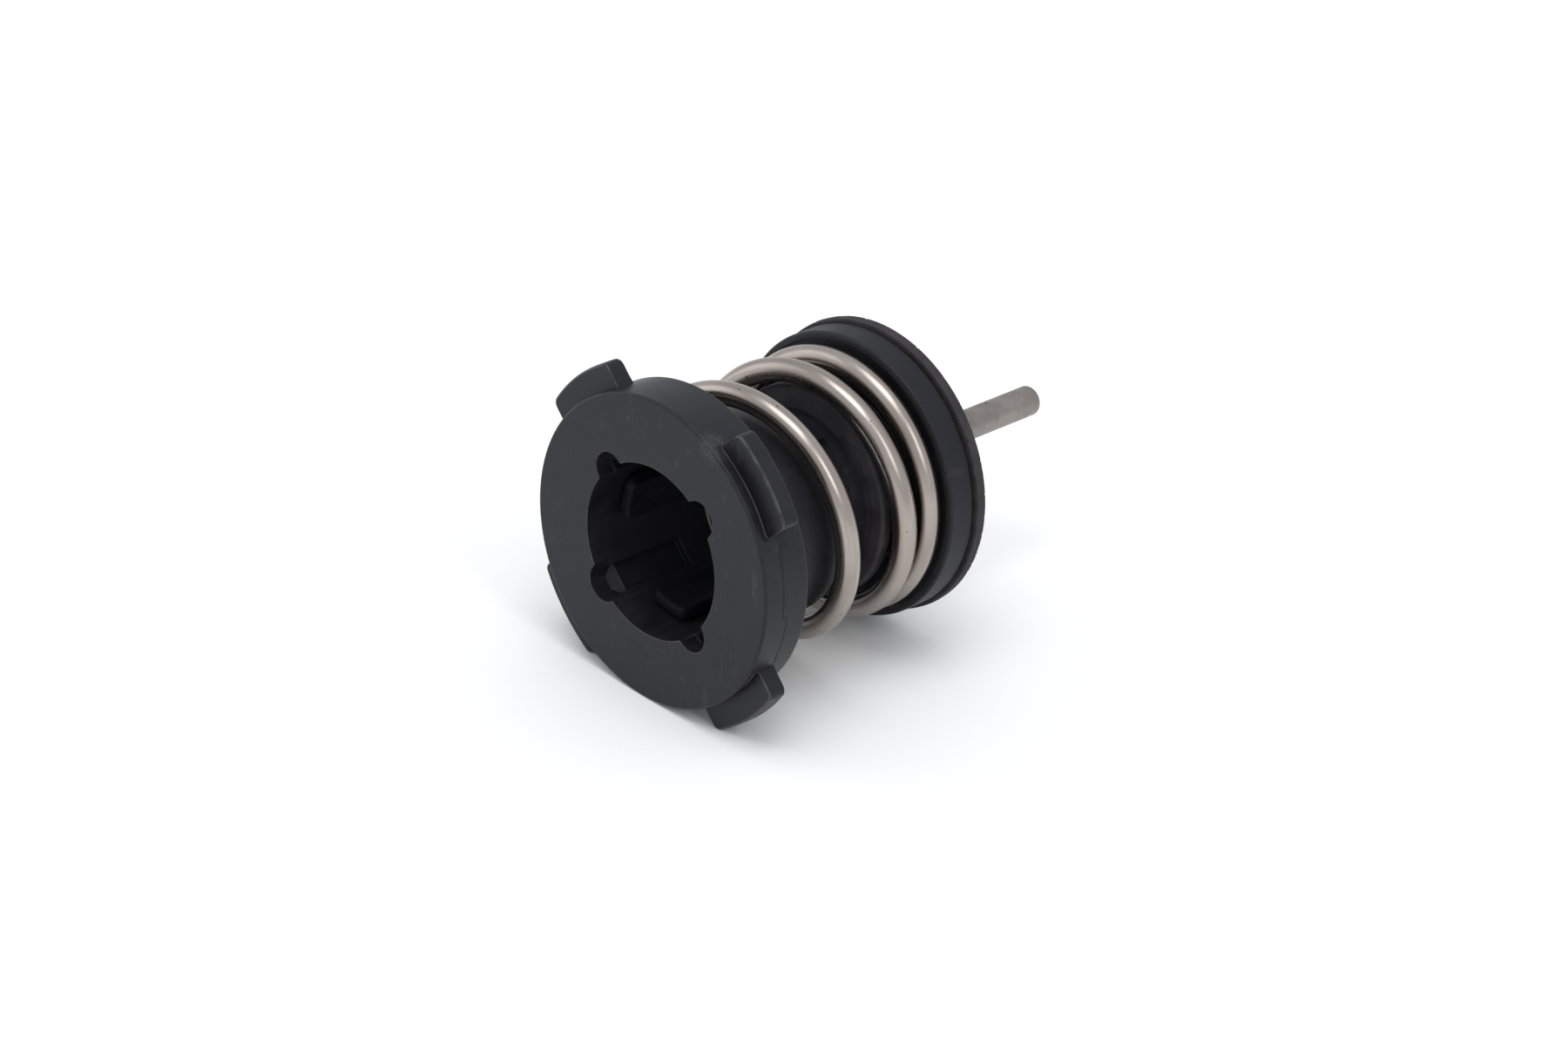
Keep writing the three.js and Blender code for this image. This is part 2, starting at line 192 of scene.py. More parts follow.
def rounded(corners, steps=4):
    """A closed loop of (radius, depth, wear and highlight) points, from (radius, depth, fillet[,
    steps]) corners.

    Each corner is rounded by its fillet, with a support point on both sides. The wear and highlight
    value, which lightens edges partly as rubbed wear and partly as painted highlight, rises to 1 in the
    middle of a small rounding and is 0 elsewhere. A fillet of 0 keeps its corner."""
    loop = []
    for i, (radius, depth, fillet, *own) in enumerate(corners):
        here = Vector((radius, depth))
        back = Vector(corners[i - 1][:2]) - here
        ahead = Vector(corners[(i + 1) % len(corners)][:2]) - here
        count = own[0] if own else steps
        room = FILLET_ROOM * min(back.length, ahead.length)
        if fillet == 0 or room < TOO_SHORT:
            loop += [(radius, depth, 0.0)] * (count + 3)
            continue
        back.normalize()
        ahead.normalize()
        half = max(back.angle(ahead) / 2, TOO_FLAT)
        if half > QUARTER - TOO_FLAT:
            loop += [(radius, depth, 0.0)] * (count + 3)
            continue
        reach = min(fillet / math.tan(half), room)
        size = reach * math.tan(half)
        centre = here + (back + ahead).normalized() * (size / math.sin(half))
        start = here + back * reach - centre
        end = here + ahead * reach - centre
        spread = start.angle_signed(end)
        extra = min(reach + SUPPORT, room * SUPPORT_ROOM)
        outer = here + back * extra
        loop.append((outer.x, outer.y, 0.0))
        for step in range(count + 1):
            turn = -spread * step / count
            x = start.x * math.cos(turn) - start.y * math.sin(turn)
            y = start.x * math.sin(turn) + start.y * math.cos(turn)
            # small roundings are lightened in their middle: partly rubbed wear, partly painted
            # highlight
            wear_and_highlight = math.sin(math.pi * step / count) if fillet < WORN_AND_HIGHLIT_UP_TO else 0.0
            loop.append((centre.x + x, centre.y + y, wear_and_highlight))
        outer = here + ahead * extra
        loop.append((outer.x, outer.y, 0.0))
    return loop


def finish_mesh(name, mesh, body, slot, material, *nodes):
    """Cleans a new mesh, shades it, and puts it on its body in place of its CAD nodes."""
    bm = bmesh.new()
    bm.from_mesh(mesh)
    bmesh.ops.remove_doubles(bm, verts=bm.verts, dist=MERGE_DISTANCE)
    bmesh.ops.dissolve_degenerate(bm, edges=bm.edges, dist=MERGE_DISTANCE)
    bmesh.ops.recalc_face_normals(bm, faces=bm.faces)
    bm.to_mesh(mesh)
    bm.free()
    mesh.shade_smooth()
    mesh.set_sharp_from_angle(angle=SHARP_ANGLE)
    mesh.materials.append(material)
    piece = bpy.data.objects.new(name, mesh)
    bpy.context.scene.collection.objects.link(piece)
    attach(piece, body)
    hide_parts(*nodes)
    return piece


def turned_mesh(name, outline, angles):
    """A closed mesh whose section at each angle is the closed loop outline(angle)."""
    sections = [outline(angle) for angle in angles]
    size = len(sections[0])
    points = []
    wear_and_highlight = []
    for angle, section in zip(angles, sections):
        for radius, depth, worn_and_highlit in section:
            points.append(place(radius, angle, depth))
            wear_and_highlight.append(worn_and_highlit)
    faces = []
    for i in range(len(angles)):
        j = (i + 1) % len(angles)
        for k in range(size):
            n = (k + 1) % size
            faces.append((i * size + k, i * size + n, j * size + n, j * size + k))
    mesh = bpy.data.meshes.new(name)
    mesh.from_pydata(points, [], faces)
    layer = mesh.attributes.new("wear_and_highlight", "FLOAT", "POINT")
    layer.data.foreach_set("value", wear_and_highlight)
    return mesh


def mesh_from(bm, name):
    """A mesh made from that bmesh, which is freed."""
    mesh = bpy.data.meshes.new(name)
    bm.to_mesh(mesh)
    bm.free()
    return mesh


def add_turned(name, outline, angles, body, slot, material, node):
    """A turned piece, finished and put in place of its CAD node."""
    return finish_mesh(name, turned_mesh(name, outline, angles), body, slot, material, node)


def around(count):
    """That many even angles, all round."""
    return [2 * math.pi * i / count for i in range(count)]


def four_fold(offsets):
    """Angles all round, from the offsets to one side of a feature that repeats every quarter turn."""
    one_side = sorted(offsets)
    other_side = [-offset for offset in reversed(one_side) if 0 < offset < QUARTER / 2]
    return [turn * QUARTER + offset for turn in range(4) for offset in other_side + one_side]


EVEN_DEGREES = [1.5 * i for i in range(31)]   # from a feature to half way to the next


def off_feature(angle, first):
    """The angle to the nearest of four features, the first of them at that angle."""
    return abs((angle - first + QUARTER / 2) % QUARTER - QUARTER / 2)


def shoulder(distance, size):
    """How far a rounded edge of that size falls away at a distance inside it."""
    if distance >= size:
        return 0.0
    return size - math.sqrt(size * size - (size - max(distance, 0.0)) ** 2)


def ramp(value):
    """0 up to 0, 1 from 1, smooth between."""
    value = min(max(value, 0.0), 1.0)
    return value * value * (3 - 2 * value)


# ---------- materials: linear colours, and noise scales in features per metre ----------

SEAT_TONES = ((0.0086, 0.0084, 0.0116), (0.0156, 0.0154, 0.0198))
CARRIER_TONES = ((0.0080, 0.0077, 0.0106), (0.0120, 0.0117, 0.0150))
# lighter tone painted on small rounded edges and on the scrape patch: partly rubbed wear, partly
# painted highlight
RUBBED_AND_HIGHLIT_PLASTIC = (0.066, 0.065, 0.071)
SCUFF_LIFT = 3   # scuffs are this many times lighter than the light tone
PLASTIC_TINT = (0.93, 0.94, 1.0)
PLASTIC_SHEEN = 0.27
FINGER_SHEEN = 0.07

RUBBER_DARK = (0.0195, 0.0178, 0.0195)
RUBBER_BLOOM = (0.044, 0.040, 0.044)
RUBBER_PIT = (0.008, 0.007, 0.007)
RUBBER_TINT = (1.0, 0.97, 1.0)

WIRE_BRIGHT = (0.43, 0.385, 0.355)
WIRE_DULL = (0.27, 0.232, 0.206)
# painted shade: the colour of the wire's side that faces the spindle
WIRE_PAINTED_SHADE = (0.105, 0.092, 0.080)
WIRE_SPECK = (0.07, 0.055, 0.045)
SPINDLE_STEEL = (0.33, 0.30, 0.275)
PLATE_STEEL = (0.52, 0.51, 0.49)
STEEL_SPECK = (0.05, 0.045, 0.04)
STEEL_FILM = 0.72   # the grey film is this share of the steel's own colour


class Paint:
    """A Principled material, and short ways to add the nodes that its looks need. The plain colour and
    roughness count only where nothing is linked."""

    def __init__(self, name, color, roughness, metallic=0.0, sheen=0.5, tint=(1, 1, 1)):
        self.material = bpy.data.materials.new(name)
        self.material.use_nodes = True
        self.nodes = self.material.node_tree.nodes
        self.links = self.material.node_tree.links
        self.shader = self.nodes["Principled BSDF"]
        self.shader.inputs["Base Color"].default_value = (*color, 1)
        self.shader.inputs["Roughness"].default_value = roughness
        self.shader.inputs["Metallic"].default_value = metallic
        self.shader.inputs["Specular IOR Level"].default_value = sheen
        self.shader.inputs["Specular Tint"].default_value = (*tint, 1)
        self.place = self.nodes.new("ShaderNodeTexCoord").outputs["Object"]
        self.height = None

    def put(self, socket, value):
        """Links the value to the socket if it is an output, or sets it there if it is plain."""
        if isinstance(value, bpy.types.NodeSocket):
            self.links.new(value, socket)
        elif isinstance(value, tuple) and len(value) == 3 and socket.type == "RGBA":
            socket.default_value = (*value, 1)
        else:
            socket.default_value = value

    def stretch(self, scale, source=None):
        """Coordinates scaled along each axis, for features that are longer one way."""
        node = self.nodes.new("ShaderNodeMapping")
        node.inputs["Scale"].default_value = scale
        self.links.new(source or self.place, node.inputs["Vector"])
        return node.outputs["Vector"]

    def noise(self, scale, detail=2.0, roughness=0.5, source=None):
        """Soft noise between 0 and 1."""
        node = self.nodes.new("ShaderNodeTexNoise")
        node.inputs["Scale"].default_value = scale
        node.inputs["Detail"].default_value = detail
        node.inputs["Roughness"].default_value = roughness
        self.links.new(source or self.place, node.inputs["Vector"])
        return node.outputs["Fac"]

    def span(self, value, low, high, to_low=0.0, to_high=1.0):
        """Maps low..high to to_low..to_high, and no further."""
        node = self.nodes.new("ShaderNodeMapRange")
        self.links.new(value, node.inputs["Value"])
        node.inputs["From Min"].default_value = low
        node.inputs["From Max"].default_value = high
        node.inputs["To Min"].default_value = to_low
        node.inputs["To Max"].default_value = to_high
        return node.outputs["Result"]

    def math(self, kind, a, b):
        """The result of that Math operation on two values."""
        node = self.nodes.new("ShaderNodeMath")
        node.operation = kind
        self.put(node.inputs[0], a)
        self.put(node.inputs[1], b)
        return node.outputs[0]

    def blend(self, share, a, b):
        """Colour a where share is 0, b where it is 1."""
        node = self.nodes.new("ShaderNodeMix")
        node.data_type = "RGBA"
        self.put(node.inputs["Factor"], share)
        self.put(node.inputs["A"], a)
        self.put(node.inputs["B"], b)
        return node.outputs["Result"]

    def near(self, point, reach):
        """1 at that point, falling to 0 at that reach in millimetres."""
        node = self.nodes.new("ShaderNodeVectorMath")
        node.operation = "DISTANCE"
        self.links.new(self.place, node.inputs[0])
        node.inputs[1].default_value = point
        return self.span(node.outputs["Value"], 0.0, reach * MM, 1.0, 0.0)

    def attribute(self, name):
        """The value that the mesh stores under that name."""
        node = self.nodes.new("ShaderNodeAttribute")
        node.attribute_name = name
        return node.outputs["Fac"]

    def color(self, value):
        self.put(self.shader.inputs["Base Color"], value)

    def rough(self, value):
        self.put(self.shader.inputs["Roughness"], value)

    def bump(self, height, depth, strength):
        """Adds relief of that depth in millimetres on top of what is there."""
        node = self.nodes.new("ShaderNodeBump")
        node.inputs["Strength"].default_value = strength
        node.inputs["Distance"].default_value = depth * MM
        self.links.new(height, node.inputs["Height"])
        if self.height is not None:
            self.links.new(self.height, node.inputs["Normal"])
        self.height = node.outputs["Normal"]
        self.links.new(self.height, self.shader.inputs["Normal"])


def moulded_plastic(name, tones, roughness, sheen, scraped_and_highlit_at=None):
    """Black glass-filled plastic: fine grain, soft mottling, a few scuffs, and small rounded edges
    rubbed smoother and painted lighter, the lighter tone partly wear and partly painted highlight.
    If a point is given, fine pale flecks round it, partly scrapes and partly painted highlight."""
    dark, light = tones
    paint = Paint(name, dark, roughness, sheen=sheen, tint=PLASTIC_TINT)
    grain = paint.noise(4200, 3, 0.6)
    mottle = paint.noise(330, 6, 0.68)
    scuffs = paint.noise(700, 3, 0.75, paint.stretch((1, 0.12, 0.35)))
    worn_and_highlit = paint.attribute("wear_and_highlight")
    scuffed = paint.math("MULTIPLY", paint.span(scuffs, 0.6, 0.74), 0.4)
    tone = paint.blend(paint.span(mottle, 0.3, 0.7), dark, light)
    tone = paint.blend(scuffed, tone, tuple(SCUFF_LIFT * c for c in light))
    patchy = paint.span(paint.noise(500, 4, 0.7), 0.35, 0.6, 0.25, 0.95)
    rubbed_and_highlit = paint.math("MULTIPLY", worn_and_highlit, patchy)
    if scraped_and_highlit_at:
        # pale flecks round that point: partly scrapes, partly painted highlight
        flecks = paint.span(paint.noise(6000, 5, 0.8, paint.stretch((0.6, 1, 0.6))), 0.4, 0.7)
        around_it = paint.span(paint.near(scraped_and_highlit_at, SCRAPE_AND_HIGHLIGHT_REACH), 0.0, 0.6)
        rubbed_and_highlit = paint.math("MAXIMUM", rubbed_and_highlit, paint.math("MULTIPLY", around_it, flecks))
    # edges and flecks painted lighter: partly rubbed wear, partly painted highlight
    paint.color(paint.blend(rubbed_and_highlit, tone, RUBBED_AND_HIGHLIT_PLASTIC))
    dull = paint.span(mottle, 0.25, 0.75, roughness - 0.07, roughness + 0.07)
    paint.rough(paint.math("SUBTRACT", dull, paint.math("MULTIPLY", worn_and_highlit, 0.12)))
    paint.bump(grain, 0.018, 0.8)
    paint.bump(mottle, 0.035, 0.6)
    return paint.material


def seal_rubber(name):
    """Dull brown-black rubber with a talc-like bloom and tiny pits."""
    paint = Paint(name, RUBBER_DARK, roughness=0.72, sheen=0.35, tint=RUBBER_TINT)
    cloud = paint.noise(380, 5, 0.6)
    grain = paint.noise(6500, 2, 0.6)
    pits = paint.span(paint.noise(1900, 1, 0.5), 0.72, 0.78)
    tone = paint.blend(paint.span(cloud, 0.35, 0.72), RUBBER_DARK, RUBBER_BLOOM)
    paint.color(paint.blend(pits, tone, RUBBER_PIT))
    paint.rough(paint.span(cloud, 0.3, 0.7, 0.62, 0.8))
    paint.bump(grain, 0.01, 0.8)
    paint.bump(paint.math("SUBTRACT", 1.0, pits), 0.03, 0.6)
    return paint.material


def drawn_wire(name):
    """Satin stainless wire: fine die lines run along it, with brownish film and small specks, and
    painted shade darkens the side that faces the spindle.
    Its UV map has millimetres along the wire, and 0 to 1 round it."""
    paint = Paint(name, WIRE_BRIGHT, roughness=0.3, metallic=1.0)
    wire = paint.nodes.new("ShaderNodeUVMap")
    wire.uv_map = "along"
    lines = paint.noise(1, 4, 0.65, paint.stretch((0.05, 26, 1), wire.outputs["UV"]))
    film = paint.noise(1, 3, 0.6, paint.stretch((0.09, 2.2, 1), wire.outputs["UV"]))
    specks = paint.math("MULTIPLY", paint.span(paint.noise(1500, 1, 0.4), 0.765, 0.785), 0.8)
    tone = paint.blend(paint.span(film, 0.35, 0.85), WIRE_BRIGHT, WIRE_DULL)
    drawn = paint.math("MULTIPLY", paint.span(lines, 0.45, 0.75), 0.25)
    tone = paint.blend(drawn, tone, WIRE_DULL)
    # painted shade on the side of the wire that faces the spindle
    tone = paint.blend(paint.attribute("inner_shade"), tone, WIRE_PAINTED_SHADE)
    paint.color(paint.blend(specks, tone, WIRE_SPECK))
    paint.rough(paint.span(lines, 0.3, 0.7, 0.22, 0.33))
    paint.bump(lines, 0.016, 0.5)
    return paint.material


def turned_steel(name, tint, roughness, rings, depth):
    """Steel with fine rings round the axis from turning or pressing, and a soft grey film."""
    paint = Paint(name, tint, roughness, metallic=1.0)
    turning = paint.noise(rings, 3, 0.6, paint.stretch((0.04, 1, 0.04)))
    film = paint.noise(420, 4, 0.6)
    specks = paint.math("MULTIPLY", paint.span(paint.noise(1500, 1, 0.4), 0.78, 0.8), 0.8)
    dull = tuple(STEEL_FILM * c for c in tint)
    tone = paint.blend(paint.span(film, 0.3, 0.7), tint, dull)
    paint.color(paint.blend(specks, tone, STEEL_SPECK))
    paint.rough(paint.span(film, 0.3, 0.7, roughness - 0.06, roughness + 0.08))
    paint.bump(turning, depth, 0.6)
    return paint.material


# ---------- seat body ----------

def lug_radius(off):
    """Radius of a lug's edge at an angle off its middle: outer arc, rounded corner, parallel side."""
    if RING_RADIUS * math.sin(off) >= LUG_HALF_WIDTH:
        return RING_RADIUS
    corner_across = LUG_HALF_WIDTH - LUG_CORNER
    corner_along = math.sqrt((LUG_RADIUS - LUG_CORNER) ** 2 - corner_across ** 2)
    if off <= math.atan2(corner_across, corner_along):
        return LUG_RADIUS
    if off >= math.atan2(LUG_HALF_WIDTH, corner_along):
        return LUG_HALF_WIDTH / math.sin(off)
    along = corner_along * math.cos(off) + corner_across * math.sin(off)
    across = corner_across * math.cos(off) - corner_along * math.sin(off)
    return along + math.sqrt(LUG_CORNER ** 2 - across ** 2)


def parting_line(angle):
    """Depth of the mould's parting line on the ring's right side, and how deep it is cut."""
    turned = (angle + math.pi) % (2 * math.pi) - math.pi
    step = ramp((turned - PARTING_STEP) / PARTING_STEP_RUN)
    line = PARTING_LOW + (PARTING_HIGH - PARTING_LOW) * step
    return line, PARTING_DEPTH * ramp((PARTING_REACH - abs(turned)) / PARTING_FADE)


def seat_outline(angle):
    """The seat body's section: front face, ring with its lugs, spring pocket, hub and bore."""
    off = off_feature(angle, LUG_ANGLE)
    line, cut = parting_line(angle)

    lug = lug_radius(off)
    relief_inside = RELIEF_HALF_WIDTH - RING_RADIUS * math.sin(off)
    relief = RING_RADIUS - RELIEF_DEPTH * ramp(relief_inside / RELIEF_END_RUN)

    across = NOTCH_CENTRE * math.sin(off)
    notch = PORT_RADIUS
    if across < NOTCH_RADIUS:
        notch = NOTCH_CENTRE * math.cos(off) + math.sqrt(NOTCH_RADIUS ** 2 - across ** 2)
        notch = max(notch, PORT_RADIUS)
    channel = slope_top = PORT_RADIUS
    slope_start = slope_end = NOTCH_DEPTH
    if CHANNEL_FLOOR * math.tan(off) <= CHANNEL_HALF_WIDTH:
        channel = CHANNEL_FLOOR / math.cos(off)
        slope_top = min(notch, (CHANNEL_FLOOR + NOTCH_SLOPE) / math.cos(off))
        slope_start += CHANNEL_FLOOR + NOTCH_SLOPE - slope_top * math.cos(off)
        slope_end += NOTCH_SLOPE

    return rounded([
        (notch, 0, 0.12),
        (RING_RADIUS, 0, RING_ROUNDING, 8),
        (RING_RADIUS, RELIEF_START, 0.12),
        (relief, RELIEF_FLOOR, 0.1),
        (relief, LUG_FRONT, 0.12),
        (lug, LUG_FRONT, 0.3, 6),
        (lug, line - PARTING_WIDTH, 0),
        (lug - cut, line, 0),
        (lug, line + PARTING_WIDTH, 0),
        (lug, LUG_BACK, 0.35, 6),
        (RING_RADIUS, LUG_BACK, 0.06),
        (RING_RADIUS, RING_DEPTH, 0.14),
        (POCKET_RADIUS, RING_DEPTH, 0.14),
        (POCKET_RADIUS, POCKET_FLOOR, 0.25),
        (HUB_RADIUS, POCKET_FLOOR, 0.25),
        (HUB_RADIUS, HUB_END, 0.3),
        (PORT_RADIUS, HUB_END, 0.35),
        (PORT_RADIUS, CHANNEL_END, 0.05),
        (channel, CHANNEL_END, 0.06),
        (channel, slope_end, 0.15),
        (slope_top, slope_start, 0.05),
        (notch, slope_start, 0.05),
    ])


def seat_angles():
    """Even steps, with more at the sides of lugs, reliefs, notches and channels, and at the step in
    the parting line. The lists are in degrees off the middle of a lug."""
    corner = math.degrees(math.asin(LUG_HALF_WIDTH / LUG_RADIUS))
    beside_corner = (-2.4, -2, -1.6, -1.2, -0.8, -0.4, -0.1, 0.2, 0.6, 1.0, 1.4)
    degrees = EVEN_DEGREES + [corner + shift for shift in beside_corner]
    foot = math.degrees(math.asin(LUG_HALF_WIDTH / RING_RADIUS))
    degrees += [foot + shift for shift in (-0.4, -0.15, -0.04, -0.002, 0.002, 0.1)]
    relief_end = math.degrees(math.asin(RELIEF_HALF_WIDTH / RING_RADIUS))
    degrees += [relief_end + shift for shift in (0.1, 0.0, -0.25, -0.5, -0.75, -1.0)]
    for turn in range(1, 16):
        part = math.radians(5.6 * turn)
        across = NOTCH_RADIUS * math.sin(part)
        along = NOTCH_CENTRE + NOTCH_RADIUS * math.cos(part)
        degrees.append(math.degrees(math.atan2(across, along)))
    channel_side = math.degrees(math.atan2(CHANNEL_HALF_WIDTH, CHANNEL_FLOOR))
    degrees += [channel_side + shift for shift in (-0.3, -0.002, 0.002, 0.3)]
    even = [LUG_ANGLE + angle for angle in four_fold(math.radians(d) for d in set(degrees))]
    step = [PARTING_STEP + 2 * math.pi + math.radians(0.3 * i) for i in range(5)]
    return sorted(even + step)


def add_seat_body(material):
    """The ring with its lugs, and the hub that the carrier slides in."""
    return add_turned(
        "seat_shell", seat_outline, seat_angles(), "seat", "seat_plastic", material, "seat_body")


# ---------- spring ----------

def spring_line(sweep):
    """Angle and depth of the wire's centre after that much sweep from its front end."""
    rise = min(max((sweep - RISE_START) / RISE_SWEEP, 0.0), 1.0)
    slope = 1 / (1 - EASE_IN / 2 - EASE_OUT / 2)
    if rise < EASE_IN:
        climbed = slope * rise * rise / (2 * EASE_IN)
    elif rise > 1 - EASE_OUT:
        climbed = 1 - slope * (1 - rise) ** 2 / (2 * EASE_OUT)
    else:
        climbed = slope * (rise - EASE_IN / 2)
    return COIL_START - sweep, COIL_FRONT + (COIL_BACK - COIL_FRONT) * climbed


def add_spring(material):
    """The wire, swept along its coils, with a small chamfer round each cut end."""
    steps = 620
    sides = 40
    tangent_step = 0.002
    line = [(COIL_SWEEP * i / steps, WIRE_RADIUS) for i in range(steps + 1)]
    inset = WIRE_END_CHAMFER / COIL_RADIUS
    line[0] = (0.0, WIRE_RADIUS - WIRE_END_CHAMFER)
    line.insert(1, (inset, WIRE_RADIUS))
    line[-1] = (COIL_SWEEP - inset, WIRE_RADIUS)
    line.append((COIL_SWEEP, WIRE_RADIUS - WIRE_END_CHAMFER))
    bm = bmesh.new()
    uv = bm.loops.layers.uv.new("along")
    inner_shade = bm.verts.layers.float.new("inner_shade")
    rings = []
    for sweep, size in line:
        angle, depth = spring_line(sweep)
        centre = place(COIL_RADIUS, angle, depth)
        ahead = place(COIL_RADIUS, *spring_line(sweep + tangent_step))
        behind = place(COIL_RADIUS, *spring_line(sweep - tangent_step))
        tangent = (ahead - behind).normalized()
        outward = Vector((math.cos(angle), 0, math.sin(angle)))
        side = tangent.cross(outward).normalized()
        ring = []
        for k in range(sides):
            turn = 2 * math.pi * k / sides
            offset = outward * math.cos(turn) + side * math.sin(turn)
            vertex = bm.verts.new(centre + offset * size * MM)
            # painted shade mask: 1 on the side of the wire that faces the spindle
            vertex[inner_shade] = ramp(-0.2 - 1.3 * math.cos(turn))   # 1 towards the spindle
            ring.append(vertex)
        rings.append((ring, sweep * COIL_RADIUS))
    for (ring, u), (following, following_u) in zip(rings, rings[1:]):
        for k in range(sides):
            n = (k + 1) % sides
            face = bm.faces.new((ring[k], ring[n], following[n], following[k]))
            corners = ((u, k), (u, k + 1), (following_u, k + 1), (following_u, k))
            for loop, (along, across) in zip(face.loops, corners):
                loop[uv].uv = (along, across / sides)
    bm.faces.new(rings[0][0])
    bm.faces.new(rings[-1][0])
    mesh = mesh_from(bm, "coil_spring")
    piece = finish_mesh("coil_spring", mesh, "seat", "spring_steel", material, "spring")
    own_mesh(piece)
    return piece


# ---------- valve carrier ----------

def carrier_outline(angle):
    """The carrier's section: fingers, neck, boss, plate, and the cored pockets in its back."""
    off = off_feature(angle, FINGER_ANGLE)
    inside = (FINGER_HALF_ANGLE - off) * FINGER_OUTER
    tip = CAGE_END
    outer = FINGER_OUTER
    inner = FINGER_INNER
    if inside >= 0:
        tip = FINGER_TIP + shoulder(inside, FINGER_CORNER)
        outer = FINGER_OUTER - shoulder(inside, FINGER_SIDE_ROUNDING)
        inner = FINGER_INNER + shoulder(inside, FINGER_SIDE_ROUNDING)
    pocket = CORE_FLOOR if CORE_INNER * math.sin(off) > CORE_WEB else SPIGOT_BACK
    return rounded([
        (CARRIER_BORE, HEAD_SEAT, 0.05),
        (HEAD_RECESS, HEAD_SEAT, 0.05),
        (HEAD_RECESS, CAGE_END, 0.1),
        (inner, CAGE_END, 0.15),
        (inner, tip, 0.4),
        (outer, tip, 0.5, 6),
        (FINGER_OUTER, CAGE_END, 0.1),
        (FINGER_OUTER, NECK_START, 0.15),
        (NECK_RADIUS, NECK_START, 0.1),
        (NECK_RADIUS, BOSS_START, 0.1),
        (BOSS_RADIUS, BOSS_START, 0.2),
        (BOSS_RADIUS, SPRING_SEAT, 0.3),
        (SPRING_SEAT_RADIUS, SPRING_SEAT, 0.1),
        (SPRING_SEAT_RADIUS, PLATE_FRONT, 0.1),
        (PLATE_RADIUS, PLATE_FRONT, 0.35, 6),
        (PLATE_RADIUS, PLATE_BACK, 0.18),
        (SPIGOT_RADIUS, PLATE_BACK, 0.06),
        (SPIGOT_RADIUS, SPIGOT_BACK, 0.05),
        (CORE_OUTER, SPIGOT_BACK, 0.08),
        (CORE_OUTER, pocket, 0.1),
        (CORE_INNER, pocket, 0.1),
        (CORE_INNER, SPIGOT_BACK, 0.08),
        (GLAND_RADIUS, SPIGOT_BACK, 0.08),
        (GLAND_RADIUS, GLAND_FLOOR, 0.05),
        (CARRIER_BORE, GLAND_FLOOR, 0.05),
    ])


def carrier_angles():
    """Even steps, with more at the sides of the fingers and of the webs in the plate's back."""
    finger_end = math.degrees(FINGER_HALF_ANGLE)
    beside_end = (0, 0.03, 0.12, 0.3, 0.6, 1.0, 1.6, 2.3, 3.2, 4.2, -0.005, -0.2)
    degrees = EVEN_DEGREES + [finger_end - inset for inset in beside_end]
    web_end = math.degrees(math.asin(CORE_WEB / CORE_INNER))
    degrees += [web_end - 0.01, web_end + 0.01]
    return [FINGER_ANGLE + angle for angle in four_fold(math.radians(d) for d in set(degrees))]


def add_carrier(material, finger_material):
    """The carrier. Its fingers, the faces in front of the cage's end, are duller than the rest."""
    mesh = turned_mesh("carrier_body", carrier_outline, carrier_angles())
    piece = finish_mesh("carrier_body", mesh, "valve", "carrier_plastic", material, "valve_carrier")
    mesh.materials.append(finger_material)
    for face in mesh.polygons:
        if face.center.y < FRONT_Y + (CAGE_END - 0.1) * MM:
            face.material_index = 1
    return piece


# ---------- seals ----------

def add_front_seal(material):
    """A rubber ring on the carrier's neck, with a raised sealing bead towards the hub."""
    start = NECK_START + GAP
    end = BOSS_START - GAP
    bore = NECK_RADIUS + GAP
    section = rounded([
        (bore, start + BEAD_HEIGHT, 0.05),
        (FRONT_SEAL_RADIUS - BEAD_FOOT, start + BEAD_HEIGHT, 0.1),
        (FRONT_SEAL_RADIUS - BEAD_TOP, start, 0.2),
        (FRONT_SEAL_RADIUS, start, 0.4, 8),
        (FRONT_SEAL_RADIUS, end, 0.4, 8),
        (bore, end, 0.05),
    ])
    return add_turned(
        "front_seal_ring", lambda angle: section, around(180),
        "valve", "seal_rubber", material, "front_seal")


def add_rear_seal(material):
    """The rubber washer behind the plate. Its rim carries a moulding line and a few small nicks."""
    draw = random.Random(5)
    nicks = [(draw.uniform(0, 2 * math.pi), draw.uniform(0.004, 0.012), draw.uniform(0.03, 0.09))
             for _ in range(26)]
    middle = (REAR_SEAL_START + REAR_SEAL_END) / 2
    ridge = 0.05
    ridge_half_width = 0.06

    def outline(angle):
        """The washer's section, with its rim cut back by any nick at that angle."""
        nick = 0.0
        for at, width, depth in nicks:
            away = abs((angle - at + math.pi) % (2 * math.pi) - math.pi)
            nick += depth * max(0.0, 1 - (away / width) ** 2)
        rim = REAR_SEAL_RADIUS - nick
        return rounded([
            (REAR_SEAL_BORE, REAR_SEAL_LAND, 0.05),
            (SPIGOT_RADIUS - 0.1, REAR_SEAL_LAND, 0.03),
            (SPIGOT_RADIUS + 0.05, REAR_SEAL_START, 0.05),
            (rim - 0.06, REAR_SEAL_START, 0.2),
            (rim - ridge, middle - ridge_half_width, 0.03, 2),
            (rim, middle, 0.03, 2),
            (rim - ridge, middle + ridge_half_width, 0.03, 2),
            (rim - 0.06, REAR_SEAL_END, 0.2),
            (RETAINER_RADIUS + 0.5, REAR_SEAL_END, 0.1),
            (REAR_SEAL_BORE, REAR_SEAL_END, 0.05),
        ])

    return add_turned(
        "rear_seal_washer", outline, around(720), "valve", "seal_rubber", material, "rear_seal")


